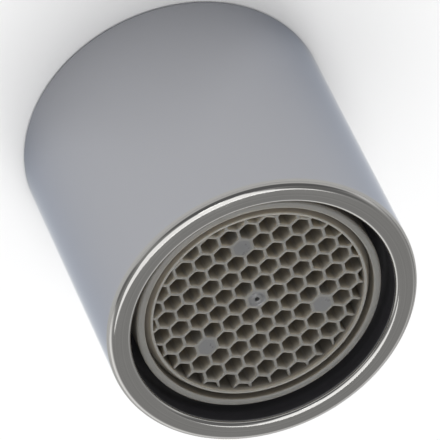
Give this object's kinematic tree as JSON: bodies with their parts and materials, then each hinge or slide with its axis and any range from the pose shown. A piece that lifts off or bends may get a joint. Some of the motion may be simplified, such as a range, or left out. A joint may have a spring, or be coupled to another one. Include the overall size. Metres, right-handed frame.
{
  "type": "tap aerator",
  "caption": "Chromed cylindrical tap aerator with a female thread in its inlet end and a recessed plastic honeycomb outlet inside a rounded rim.",
  "frame": {"origin": "middle of the inlet end's face, on which the aerator stands", "axes": "+Z along the axis from the threaded inlet end to the outlet; +X along a row of honeycomb cells"},
  "size_m": [0.024, 0.024, 0.0234],
  "materials": {
    "chromed_brass": "polished chrome plating on turned brass",
    "washer_rubber": "matt black rubber",
    "inner_plastic": "moulded, off-white grey",
    "insert_plastic": "moulded, warm grey"
  },
  "bodies": {
    "root": {"outer_sleeve": "chromed_brass", "sealing_washer": "washer_rubber", "strainer_dome": "inner_plastic", "jet_plate": "inner_plastic", "homogeniser_grid": "inner_plastic", "insert_housing": "insert_plastic"}
  },
  "joints": []
}
